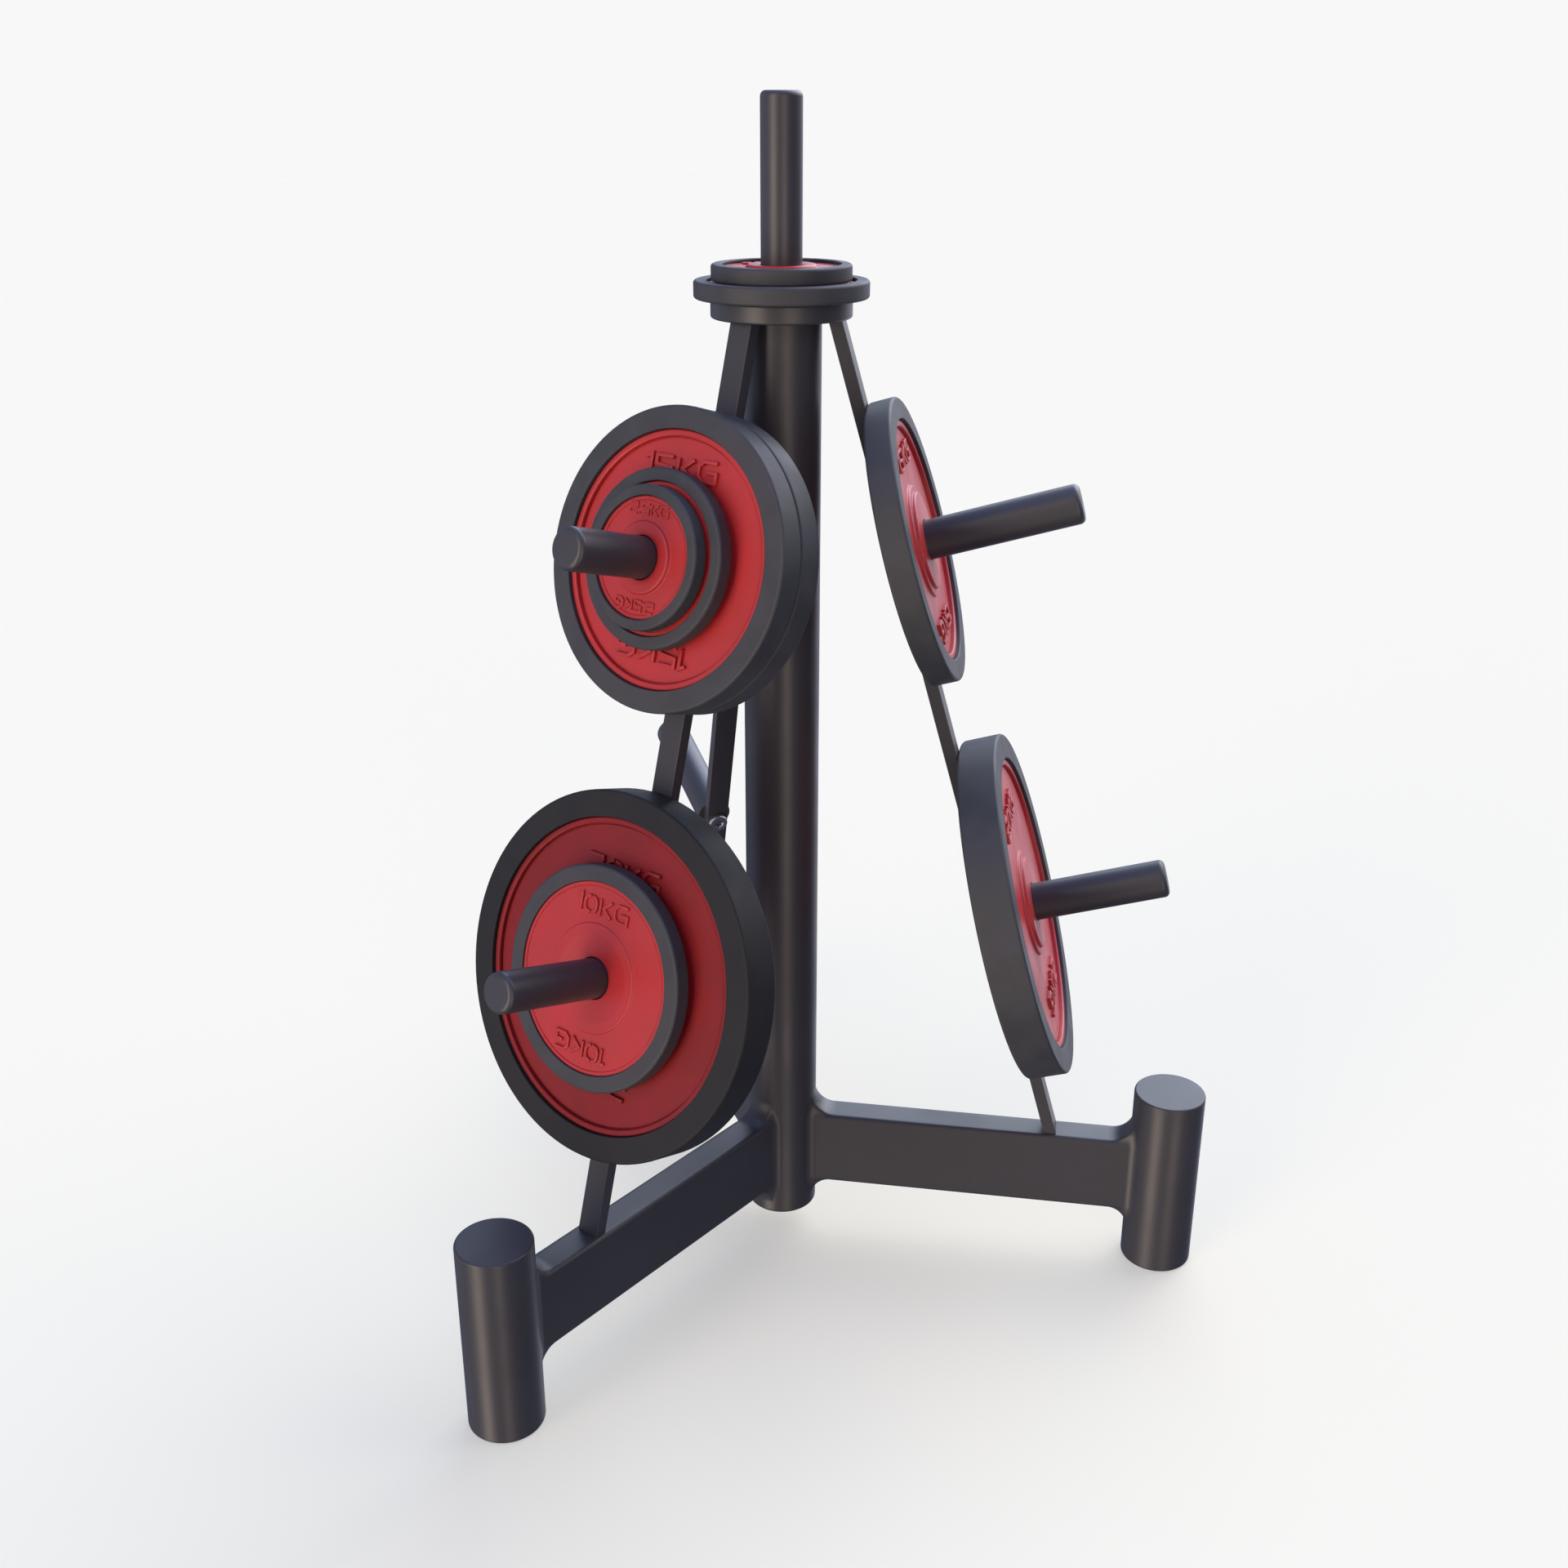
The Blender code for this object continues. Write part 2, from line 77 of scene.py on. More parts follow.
SIDES = ("left", "right", "rear")
PEGS = (*(f"{side}_{level}" for side in SIDES for level in ("upper", "lower")), "top")
UP = Vector((0, 0, 1))
TOUCHING_GAP = 0.0003  # the model's gap between pieces that touch
SAME_POINT = 0.00001  # points closer than this are merged
ROUND_UNDER = math.radians(35)  # faces that meet at less than this are shaded as one round face
ARC_STEP = math.radians(18)  # a rounded corner's arc is drawn in steps of about this
STAGE_RADIUS = 40.0


# What the model says --------------------------------------------------------------------------


def middle(node):
    low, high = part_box(node)
    return (low + high) / 2


def extent(node, way):
    """Lowest and highest point of a node along a direction."""
    spots = [vert.co.dot(way) for vert in frame["nodes"][node].data.vertices]
    return min(spots), max(spots)


def section(node, place):
    """Distances from the axis and heights at which a turned node has points, in its own place, to
    a tenth of a millimetre."""
    back = place.inverted()
    spots = [back @ vert.co for vert in frame["nodes"][node].data.vertices]
    radii = sorted({round(math.hypot(spot.x, spot.y), 4) for spot in spots})
    return radii, sorted({round(spot.z, 4) for spot in spots})


def standing(point, way):
    """The place of a piece drawn upwards from the origin: its foot at point, leaning along way."""
    if way.z > 0.999:  # upright, so that no level direction crosses it
        across = middle_to("rear").cross(UP)
    else:
        across = UP.cross(way).normalized()
    turn = Matrix((across, way.cross(across), way)).transposed()
    return Matrix.Translation(point) @ turn.to_4x4()


def middle_to(side):
    """Level direction from the column to a foot post."""
    way = middle(f"foot_post_{side}") - middle("column_tube")
    return Vector((way.x, way.y, 0)).normalized()


PLATES = {
    joint["child"]: Vector(joint["axis"]).normalized()
    for joint in frame["record"]["behaviour"]["joints"]
}
PEG_SLOPE = math.asin(PLATES["plate_20kg_left_lower"].z)
COLUMN_LOW, COLUMN_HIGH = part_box("column_tube")
COLUMN_RADIUS = (COLUMN_HIGH.x - COLUMN_LOW.x) / 2
COLUMN_AXIS = Vector((middle("column_tube").x, middle("column_tube").y, 0))
COLUMN_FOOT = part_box("column_bottom_cap")[0].z
COLLAR_LOW, COLLAR_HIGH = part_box("top_collar")
FOOT_REACH = middle("foot_post_rear").y - COLUMN_AXIS.y
FOOT_RADIUS = (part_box("foot_post_rear")[1].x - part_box("foot_post_rear")[0].x) / 2
FOOT_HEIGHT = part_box("foot_top_cap_rear")[1].z


def peg_way(name):
    if name == "top":
        return UP.copy()
    level = middle_to(name.split("_")[0])
    return level * math.cos(PEG_SLOPE) + UP * math.sin(PEG_SLOPE)


def foot_on(node, way):
    """Where the axis of a turned node comes out at its lower end."""
    centre = middle(node)
    return centre + way * (extent(node, way)[0] - centre.dot(way))


# Sizes, colours and lights that a user would change -------------------------------------------


def linear(code):
    """An sRGB hex colour as linear RGB."""
    parts = [int(code[i : i + 2], 16) / 255 for i in (1, 3, 5)]
    return tuple(c / 12.92 if c <= 0.04045 else ((c + 0.055) / 1.055) ** 2.4 for c in parts)


def length(name, description, default):
    return FloatProperty(
        name=name,
        description=description,
        default=default,
        unit="LENGTH",
        subtype="DISTANCE",
        precision=4,
    )


def colour(name, description, code):
    return FloatVectorProperty(
        name=name,
        description=description,
        default=linear(code),
        size=3,
        subtype="COLOR",
        min=0,
        max=1,
    )


def amount(name, description, default):
    return FloatProperty(
        name=name, description=description, default=default, min=0, max=1, subtype="FACTOR"
    )


def brightness(name, description, default):
    return FloatProperty(name=name, description=description, default=default, min=0, max=20)


def angle(name, description, degrees):
    return FloatProperty(
        name=name,
        description=description,
        default=math.radians(degrees),
        unit="ROTATION",
        subtype="ANGLE",
    )


class StandSizes(PropertyGroup):
    column_edge: length("Column edge", "Rounding of the column's lower end", 0.005)
    collar_edge: length("Collar edge", "Rounding of the collar's two edges", 0.003)
    foot_base_edge: length("Foot base edge", "Rounding of a foot post's lower edge", 0.004)
    foot_top_edge: length("Foot top edge", "Rounding of a foot post's upper edge", 0.003)
    leg_width: length("Leg width", "Width of a leg between its fillets", 0.045)
    leg_edge: length("Leg edge", "Rounding of a leg's long edges", 0.006)
    weld_fillet: length("Weld fillet", "Radius in which a leg's sides flow into its posts", 0.018)
    tall_fillet: length("Tall fillet", "The same above and below the leg", 0.030)
    weld_sink: length("Weld sink", "How far a fillet's last ring lies inside the post", 0.00012)
    stay_edge: length("Stay edge", "Rounding of a stay's long edges", 0.0011)
    peg_edge: length("Peg edge", "Rounding of a peg's end", 0.0068)
    bolt_head_edge: length("Bolt head edge", "Rounding of a bolt's head", 0.0028)
    key_size: length("Hex socket", "Socket of a bolt's head, across flats", 0.010)
    key_depth: length("Socket depth", "Depth of the hex socket", 0.004)


class PlateSizes(PropertyGroup):
    rim_edge: length("Rim edge", "Rounding of a rim's outer edges", 0.0036)
    rim_lip: length("Rim lip", "Rounding of a rim's inner edges", 0.0014)
    bead_depth: length("Bead depth", "Top of a deep core's bead below the front of its rim", 0.0046)
    bead_width: length("Bead width", "Width of a deep core's bead", 0.0078)
    groove_width: length("Groove width", "Width of the groove inside the bead", 0.0016)
    groove_depth: length("Groove depth", "Depth of the groove below the web", 0.0010)
    hub_step: length("Hub step", "Width of the lower ring round a deep core's hub", 0.0090)
    hub_drop: length("Hub drop", "Lower ring below the face of a deep core's hub", 0.0042)
    hub_edge: length("Hub edge", "Rounding of a deep core's two hub steps", 0.0026)
    bore_edge: length("Bore edge", "Rounding of the bore's edges", 0.0012)
    stroke: amount("Stroke", "Width of a mark's strokes, in heights of its letters", 0.17)
    letter_gap: amount("Letter gap", "Gap between letters, in heights of the letters", 0.12)
    steps: IntProperty(
        name="Steps", description="Steps in a plate's full turn", default=112, min=48, max=256
    )


class Finishes(PropertyGroup):
    powder: colour("Powder coat", "Satin charcoal of the stand", "#37373C")
    powder_shade: colour("Powder coat, thin", "Where the powder lies thinner", "#323237")
    rubber: colour("Rubber", "Black of the plates' rims", "#323439")
    rubber_shade: colour("Rubber, dusty", "Where dust has settled in the grain", "#383A40")
    enamel: colour("Red enamel", "Red of the plates' cores", "#AE282C")
    enamel_shade: colour("Red enamel, thin", "Where the red was sprayed thinner", "#A62428")
    # Painted shade: the lower left 20 kg plate gets its own darker rubber and red, about half as
    # bright as the others, standing for shade that falls on it
    old_rubber: colour("Older rubber", "Black of the older plate's rim", "#202124")
    old_rubber_shade: colour("Older rubber, dusty", "Where dust has settled in it", "#242528")
    old_enamel: colour("Older enamel", "Deeper red of the older plate's core", "#801A1F")
    old_enamel_shade: colour("Older enamel, thin", "Where it was sprayed thinner", "#78171B")
    zinc: colour("Zinc", "Plating of the bolts", "#9A9AA2")
    floor: colour("Floor", "Studio floor and surround", "#F8F8F8")


class Studio(PropertyGroup):
    lens: FloatProperty(
        name="Lens", description="Focal length of the camera", default=38.78, min=10, unit="CAMERA"
    )
    camera: FloatVectorProperty(
        name="Camera",
        description="Place of the camera",
        default=(-0.7211, -2.0383, 1.5089),
        unit="LENGTH",
        subtype="TRANSLATION",
    )
    pitch: angle("Pitch", "How far the camera looks down", 21.953)
    heading: angle("Heading", "Turn of the camera round Z, from +Y", -20.560)
    room: brightness("Room", "Dim room all round", 0.24)
    overhead: brightness("Overhead", "Cool light from above", 1.35)
    back_box: brightness("Back softbox", "Cool box behind, above and to the right", 4.0)
    behind: brightness("Behind", "Pale wall low down behind, to the right", 0.9)
    left_strip: brightness("Left strip", "Tall warm strip in front, to the left", 4.4)
    right_strip: brightness("Right strip", "Tall warm strip in front", 2.3)
    right_fill: brightness("Right fill", "Pale box high up to the right", 2.7)
    left_fill: brightness("Left fill", "Cool wall to the left", 0.45)
    shadow: amount("Floor shadow", "Share of the floor's brightness that a shadow can take", 0.57)


class PlateTree(PropertyGroup):
    stand: PointerProperty(type=StandSizes)
    plate: PointerProperty(type=PlateSizes)
    finish: PointerProperty(type=Finishes)
    studio: PointerProperty(type=Studio)


def settings():
    return bpy.context.scene.plate_tree


# Modelling ------------------------------------------------------------------------------------


def deselect_all():
    for obj in bpy.context.view_layer.objects:
        obj.select_set(False)


def edit():
    bpy.ops.object.mode_set(mode="EDIT")
    bpy.ops.mesh.select_all(action="SELECT")


def started(name):
    """The primitive just added, named and open for editing with all of it selected."""
    piece = bpy.context.object
    piece.name = name
    piece.data.name = name
    edit()
    return piece


def closed_up(piece):
    """Merges doubles, turns the faces outwards, leaves edit mode and smooths the round faces."""
    bpy.ops.mesh.select_all(action="SELECT")
    bpy.ops.mesh.remove_doubles(threshold=SAME_POINT)
    bpy.ops.mesh.normals_make_consistent(inside=False)
    bpy.ops.object.mode_set(mode="OBJECT")
    bpy.ops.object.shade_smooth_by_angle(angle=ROUND_UNDER)
    return piece


def flat_faces_kept_flat(piece):
    """Weights the normals by area, so that a flat face stays flat beside its rounded edge."""
    piece.modifiers.new("Weighted normals", "WEIGHTED_NORMAL").keep_sharp = True
    apply_modifiers(piece)
    return piece


def apply_modifiers(piece):
    bpy.context.view_layer.objects.active = piece
    for modifier in list(piece.modifiers):
        bpy.ops.object.modifier_apply(modifier=modifier.name)


def rounded(corners, ring):
    """A half section in the XZ plane from (distance from axis, height, rounding) corners."""
    points = []
    for i, (distance, height, rounding) in enumerate(corners):
        here = Vector((distance, 0, height))
        if not rounding or not (ring or 0 < i < len(corners) - 1):
            points.append(here)
            continue
        before, after = (
            (Vector((corners[j][0], 0, corners[j][1])) - here).normalized()
            for j in (i - 1, (i + 1) % len(corners))
        )
        half = before.angle(after) / 2
        centre = here + (before + after).normalized() * (rounding / math.sin(half))
        first = (here + before * (rounding / math.tan(half)) - centre).normalized()
        last = (here + after * (rounding / math.tan(half)) - centre).normalized()
        turn = math.pi - 2 * half
        steps = max(2, round(turn / ARC_STEP))
        for k in range(steps + 1):
            share = k / steps
            spot = first * math.sin((1 - share) * turn) + last * math.sin(share * turn)
            points.append(centre + spot * (rounding / math.sin(turn)))
    return points


def turned(name, corners, ring=False, steps=96):
    """Draws a half section by extruding one point, and spins it round the Z axis."""
    points = rounded(corners, ring)
    deselect_all()
    bpy.ops.mesh.primitive_plane_add(size=0.01, location=(0, 0, 0))
    piece = started(name)
    bpy.ops.mesh.merge(type="CENTER")
    bpy.ops.transform.translate(value=points[0])
    path = points[1:] + ([points[0]] if ring else [])
    here = points[0]
    for there in path:
        bpy.ops.mesh.extrude_region_move(TRANSFORM_OT_translate={"value": there - here})
        here = there
    bpy.ops.mesh.select_all(action="SELECT")
    bpy.ops.mesh.remove_doubles(threshold=SAME_POINT)
    bpy.ops.mesh.spin(steps=steps, angle=2 * math.pi, center=(0, 0, 0), axis=(0, 0, 1))
    closed_up(piece)
    return flat_faces_kept_flat(piece)


def copy_of(model, name, place):
    """A copy with its own mesh, its place in the mesh."""
    piece = model.copy()
    piece.data = model.data.copy()
    piece.name = piece.data.name = name
    piece.data.transform(place)
    bpy.context.scene.collection.objects.link(piece)
    return piece


def remove(piece):
    mesh = piece.data
    bpy.data.objects.remove(piece)
    bpy.data.meshes.remove(mesh)


def fitted(piece, slot, body, *nodes):
    """Gives a piece its finish, the body that it moves with and the nodes that it stands for."""
    piece.data.materials.clear()
    piece.data.materials.append(finish_of(slot, body))
    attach(piece, body)
    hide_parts(*nodes)


def round_the_column(side):
    """The place of what was drawn along +X from the column."""
    way = middle_to(side)
    return Matrix.Translation(COLUMN_AXIS) @ Matrix.Rotation(math.atan2(way.y, way.x), 4, "Z")


# Finishes -------------------------------------------------------------------------------------


def add_node(tree, kind, values=None, **attributes):
    """Adds a node, sets its attributes, and sets or links its inputs."""
    node = tree.nodes.new(kind)
    for name, value in attributes.items():
        setattr(node, name, value)
    for key, value in (values or {}).items():
        if isinstance(value, bpy.types.NodeSocket):
            tree.links.new(value, node.inputs[key])
        else:
            node.inputs[key].default_value = value
    return node


def new_material(name):
    material = bpy.data.materials.new(name)
    material.use_nodes = True
    material.node_tree.nodes.clear()
    return material, material.node_tree


def mixed_tones(tree, spot, patch_width, first, second):
    """Soft patches of two close tones. Returns the share of the second and the mixed colour."""
    patch = add_node(
        tree, "ShaderNodeTexNoise", {"Vector": spot, "Scale": 1 / patch_width, "Detail": 3}
    ).outputs["Fac"]
    share = add_node(
        tree,
        "ShaderNodeMapRange",
        {"Value": patch, "From Min": 0.35, "From Max": 0.65},
        interpolation_type="SMOOTHSTEP",
    ).outputs["Result"]
    mix = add_node(tree, "ShaderNodeMix", data_type="RGBA")
    tree.links.new(share, mix.inputs[0])
    mix.inputs[6].default_value = (*first, 1)
    mix.inputs[7].default_value = (*second, 1)
    return share, mix.outputs[2]


def between(tree, share, low, high):
    return add_node(
        tree, "ShaderNodeMapRange", {"Value": share, "To Min": low, "To Max": high}
    ).outputs["Result"]


def grain(tree, spot, width, height, strength, detail=2.0):
    """Bumps of a real width and height, in metres, as a normal."""
    bumps = add_node(
        tree, "ShaderNodeTexNoise", {"Vector": spot, "Scale": 1 / width, "Detail": detail}
    ).outputs["Fac"]
    return add_node(
        tree, "ShaderNodeBump", {"Height": bumps, "Distance": height, "Strength": strength}
    ).outputs["Normal"]


def finish_output(tree, shader):
    add_node(tree, "ShaderNodeOutputMaterial", {"Surface": shader.outputs[0]})


def powder_coated_steel(name):
    """Polyester powder baked on welded steel tube: an even satin film whose flow leaves a faint
    orange peel, so that highlights are soft-edged and slightly broken."""
    look = settings().finish
    material, tree = new_material(name)
    spot = add_node(tree, "ShaderNodeTexCoord").outputs["Object"]
    share, tone = mixed_tones(tree, spot, 0.12, look.powder, look.powder_shade)
    shader = add_node(
        tree,
        "ShaderNodeBsdfPrincipled",
        {
            "Base Color": tone,
            "Metallic": 0.0,
            "Roughness": between(tree, share, 0.36, 0.42),
            "IOR": 1.5,
            # Peel is 1 to 2 mm across, drawn at 2.4 mm so that it shows.
            "Normal": grain(tree, spot, 0.0024, 0.00004, 0.5),
        },
    )
    finish_output(tree, shader)
    return material


def moulded_rubber(name, first, second, gloss):
    """Virgin rubber moulded over the plate's edge: matt from the grain of the mould, a little
    lighter where dust sits in it."""
    material, tree = new_material(name)
    spot = add_node(tree, "ShaderNodeTexCoord").outputs["Object"]
    share, tone = mixed_tones(tree, spot, 0.05, first, second)
    shader = add_node(
        tree,
        "ShaderNodeBsdfPrincipled",
        {
            "Base Color": tone,
            "Roughness": between(tree, share, 0.52, 0.62),
            "IOR": 1.52,
            "Specular IOR Level": gloss,
            # Mould grain is under 1 mm, drawn at 1.6 mm so that it shows.
            "Normal": grain(tree, spot, 0.0016, 0.00006, 0.5, 3),
        },
    )
    finish_output(tree, shader)
    return material


def red_enamel(name, first, second, gloss):
    """Stoved enamel sprayed on cast iron: a smooth closed film that follows the casting, satin
    rather than glossy, with a pale sheen at a flat angle."""
    material, tree = new_material(name)
    spot = add_node(tree, "ShaderNodeTexCoord").outputs["Object"]
    share, tone = mixed_tones(tree, spot, 0.06, first, second)
    shader = add_node(
        tree,
        "ShaderNodeBsdfPrincipled",
        {
            "Base Color": tone,
            "Roughness": between(tree, share, 0.38, 0.46),
            "IOR": 1.5,
            "Specular IOR Level": gloss,
            # The casting's skin shows through as soft waves about 3 mm wide.
            "Normal": grain(tree, spot, 0.0032, 0.00005, 0.4),
        },
    )
    finish_output(tree, shader)
    return material


def zinc_plated_steel(name):
    """Zinc plating on a turned bolt: grey metal with a fine dull crystal grain."""
    look = settings().finish
    material, tree = new_material(name)
    spot = add_node(tree, "ShaderNodeTexCoord").outputs["Object"]
    share, tone = mixed_tones(tree, spot, 0.004, look.zinc, [c * 0.85 for c in look.zinc])
    shader = add_node(
        tree,
        "ShaderNodeBsdfPrincipled",
        {
            "Base Color": tone,
            "Metallic": 1.0,
            "Roughness": between(tree, share, 0.36, 0.46),
            # Crystals are too fine to show, so they are drawn 0.8 mm wide.
            "Normal": grain(tree, spot, 0.0008, 0.00002, 0.4),
        },
    )
    finish_output(tree, shader)
    return material


PLATE_IN_PAINTED_SHADE = "plate_20kg_left_lower"  # its rubber is painted blacker and its red deeper, as painted shade
made_materials = {}


def finish_of(slot, body):
    """The material of a record's slot, made once; the plate under painted shade has its own, darker
    and less glossy.
    """
    look = settings().finish
    shadier = body == PLATE_IN_PAINTED_SHADE
    makers = {
        "powder_coat": ("powder_coated_steel", powder_coated_steel, ()),
        "bolt_steel": ("zinc_plated_steel", zinc_plated_steel, ()),
        "rim_rubber": ("moulded_rubber", moulded_rubber, (look.rubber, look.rubber_shade, 0.4)),
        "core_enamel": ("red_enamel", red_enamel, (look.enamel, look.enamel_shade, 0.5)),
        # Painted shade: darker rubber and red with less gloss for one plate, standing for shade
        # that falls on it
        "rim_rubber_older": (
            "older_rubber",
            moulded_rubber,
            (look.old_rubber, look.old_rubber_shade, 0.2),
        ),
        "core_enamel_older": (
            "older_red_enamel",
            red_enamel,
            (look.old_enamel, look.old_enamel_shade, 0.3),
        ),
    }
    name, maker, tones = makers[f"{slot}_older" if shadier else slot]
    if name not in made_materials:
        made_materials[name] = maker(name, *tones)
    return made_materials[name]


# Stand ----------------------------------------------------------------------------------------


def make_column():
    top = COLLAR_LOW.z
    corners = (
        (0, COLUMN_FOOT, 0),
        (COLUMN_RADIUS, COLUMN_FOOT, settings().stand.column_edge),
        (COLUMN_RADIUS, top, 0),
        (0, top, 0),
    )
    column = turned("column", corners, steps=128)
    column.data.transform(Matrix.Translation(COLUMN_AXIS))
    nodes = ("column_tube", "column_bottom_cap")
    fitted(column, "powder_coat", "frame", *nodes)


def make_collar():
    radius = (COLLAR_HIGH.x - COLLAR_LOW.x) / 2
    edge = settings().stand.collar_edge
    corners = (
        (0, COLLAR_LOW.z, 0),
        (radius, COLLAR_LOW.z, edge),
        (radius, COLLAR_HIGH.z, edge),
        (0, COLLAR_HIGH.z, 0),
    )
    collar = turned("collar", corners, steps=144)
    collar.data.transform(Matrix.Translation(COLUMN_AXIS))
    fitted(collar, "powder_coat", "frame", "top_collar")


class LegFlare:
    """How a leg's section swells into the round post at its end."""

    def __init__(self, post_radius, half_width, half_height, edge, fillets, sink):
        self.post, self.fillets, self.edge, self.sink = post_radius, fillets, edge, sink
        self.half = (half_width, half_height)
        # Centre of the arc that joins a side face to the post, and how far it turns
        across = half_width + fillets[1]
        self.centre = (math.sqrt((post_radius + fillets[1]) ** 2 - across**2), across)
        self.turn = math.atan2(*self.centre)

    def __call__(self, distance, y, z):
        """Moves a point at a distance from the post's axis, and returns it as (distance, y, z)."""
        tall, round_radius = self.fillets
        tall_share, share = (
            min(max((self.post + radius - distance) / radius, 0), 1) for radius in self.fillets
        )
        side, top = (
            min(max(abs(along) - (half - self.edge), 0) / self.edge, 1) ** 2
            for along, half in zip((y, z), self.half)
        )
        rise = tall_share * math.pi / 2
        turn = share * self.turn
        over_top = max(distance, self.post + tall) - tall * math.sin(rise)
        x, across = self.centre
        x += max(distance - self.post - round_radius, 0)
        round_side = math.hypot(
            x - round_radius * math.sin(turn), across - round_radius * math.cos(turn)
        )
        out = over_top
        if top + side:
            out = (top * over_top + side * round_side) / (top + side)
        out += min(distance - self.post, 0) - self.sink * share
        y += math.copysign(side * round_radius * (1 - math.cos(turn)), y)
        z += math.copysign(top * tall * (1 - math.cos(rise)), z)
        return math.sqrt(max(out**2 - y**2, 0)), y, z


def make_legs():
    sizes = settings().stand
    low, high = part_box("base_leg_rear")
    half_height = (high.z - low.z) / 2 - sizes.weld_fillet
    half_width = sizes.leg_width / 2
    centre = (high.z + low.z) / 2
    tall = sizes.tall_fillet
    inside = 0.006  # how far the bar is started inside its posts
    near = COLUMN_RADIUS
    far = FOOT_REACH - FOOT_RADIUS
    deselect_all()
    bpy.ops.mesh.primitive_cube_add(size=1, location=(0, 0, 0))
    leg = started("leg")
    bpy.ops.transform.resize(value=(far - near + 2 * inside, 2 * half_width, 2 * half_height))
    bpy.ops.transform.translate(value=((near + far) / 2, 0, 0))
    bpy.ops.object.mode_set(mode="OBJECT")
    for edge in leg.data.edges:
        first, second = (leg.data.vertices[i].co for i in edge.vertices)
        edge.select = abs(first.x - second.x) > inside
    for face in leg.data.polygons:
        face.select = False
    for vert in leg.data.vertices:
        vert.select = True
    bpy.ops.object.mode_set(mode="EDIT")
    bpy.ops.mesh.select_mode(type="EDGE")
    bpy.ops.mesh.bevel(offset=sizes.leg_edge, segments=5, affect="EDGES")
    bpy.ops.mesh.select_mode(type="VERT")
    arcs = 15
    reaches = [tall * i / arcs for i in range(arcs + 1)] + [tall + 0.001, tall + 0.03]
    planes = []
    for reach in reaches:
        planes += [((x, 0, 0), (1, 0, 0)) for x in (near + reach, far - reach)]
    flat_width = half_width - sizes.leg_edge
    planes += [((0, flat_width * k / 4, 0), (0, 1, 0)) for k in range(-3, 4)]
    flat_height = half_height - sizes.leg_edge
    planes += [((0, 0, flat_height * k / 3), (0, 0, 1)) for k in range(-2, 3)]
    for point, normal in planes:
        bpy.ops.mesh.select_all(action="SELECT")
        bpy.ops.mesh.bisect(plane_co=point, plane_no=normal)
    bpy.ops.object.mode_set(mode="OBJECT")
    fillets = (tall, sizes.weld_fillet)
    cross_section = (half_width, half_height, sizes.leg_edge, fillets, sizes.weld_sink)
    at_column = LegFlare(near, *cross_section)
    at_foot = LegFlare(FOOT_RADIUS, *cross_section)
    flared = tall + 0.002
    for vert in leg.data.vertices:
        x, y, z = vert.co
        if x < near + flared:
            vert.co = at_column(x, y, z)
        elif x > far - flared:
            out, y, z = at_foot(FOOT_REACH - x, y, z)
            vert.co = (FOOT_REACH - out, y, z)
    edit()
    closed_up(leg)
    flat_faces_kept_flat(leg)
    leg.data.transform(Matrix.Translation((0, 0, centre)))
    for side in SIDES:
        piece = copy_of(leg, f"leg_{side}", round_the_column(side))
        fitted(piece, "powder_coat", "frame", f"base_leg_{side}")
    remove(leg)


def make_feet():
    sizes = settings().stand
    corners = (
        (0, 0, 0),
        (FOOT_RADIUS, 0, sizes.foot_base_edge),
        (FOOT_RADIUS, FOOT_HEIGHT, sizes.foot_top_edge),
        (0, FOOT_HEIGHT, 0),
    )
    foot = turned("foot", corners, steps=128)
    for side in SIDES:
        place = Matrix.Translation(COLUMN_AXIS + middle_to(side) * FOOT_REACH)
        piece = copy_of(foot, f"foot_{side}", place)
        nodes = [f"foot_{kind}_{side}" for kind in ("post", "top_cap", "base_cap")]
        fitted(piece, "powder_coat", "frame", *nodes)
    remove(foot)


def make_stays():
    edge = settings().stand.stay_edge
    top = COLLAR_LOW.z
    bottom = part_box("stay_rear")[0].z - TOUCHING_GAP
    back, front = extent("stay_rear", peg_way("rear_upper"))
    start = COLUMN_AXIS.dot(peg_way("rear_upper"))
    low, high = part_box("stay_rear")
    thickness, width = front - back, high.x - low.x
    run = (top - bottom) / math.cos(PEG_SLOPE) + 0.1  # with some to cut off at each end
    deselect_all()
    bpy.ops.mesh.primitive_cube_add(size=1, location=(0, 0, 0))
    bar = started("stay")
    bpy.ops.transform.resize(value=(thickness, width, run))
    bpy.ops.mesh.bevel(offset=edge, segments=3, affect="EDGES")
    bpy.ops.object.mode_set(mode="OBJECT")
    upright = (top + bottom) / 2
    # On the bar's middle line: its distance along the peg's direction is known, and so its reach
    out = ((front + back) / 2 - start - upright * math.sin(PEG_SLOPE)) / math.cos(PEG_SLOPE)
    lean = Matrix.Rotation(-PEG_SLOPE, 4, "Y")
    bar.data.transform(Matrix.Translation((out, 0, upright)) @ lean)
    edit()
    for height, above in ((top, True), (bottom, False)):
        bpy.ops.mesh.select_all(action="SELECT")
        bpy.ops.mesh.bisect(
            plane_co=(0, 0, height),
            plane_no=UP,
            clear_outer=above,
            clear_inner=not above,
            use_fill=True,
        )
    closed_up(bar)
    flat_faces_kept_flat(bar)
    for side in SIDES:
        piece = copy_of(bar, f"stay_bar_{side}", round_the_column(side))
        fitted(piece, "powder_coat", "frame", f"stay_{side}")
    remove(bar)


def make_pegs():
    edge = settings().stand.peg_edge
    for name in PEGS:
        way = peg_way(name)
        foot = foot_on(f"peg_{name}_tube", way) - way * TOUCHING_GAP
        run = extent(f"peg_{name}_end_cap", way)[1] - foot.dot(way)
        radius = section(f"peg_{name}_tube", standing(foot, way))[0][-1]
        corners = ((0, 0, 0), (radius, 0, 0), (radius, run, edge), (0, run, 0))
        peg = turned(f"peg_{name}", corners)
        peg.data.transform(standing(foot, way))
        nodes = (f"peg_{name}_tube", f"peg_{name}_end_cap")
        fitted(peg, "powder_coat", "frame", *nodes)


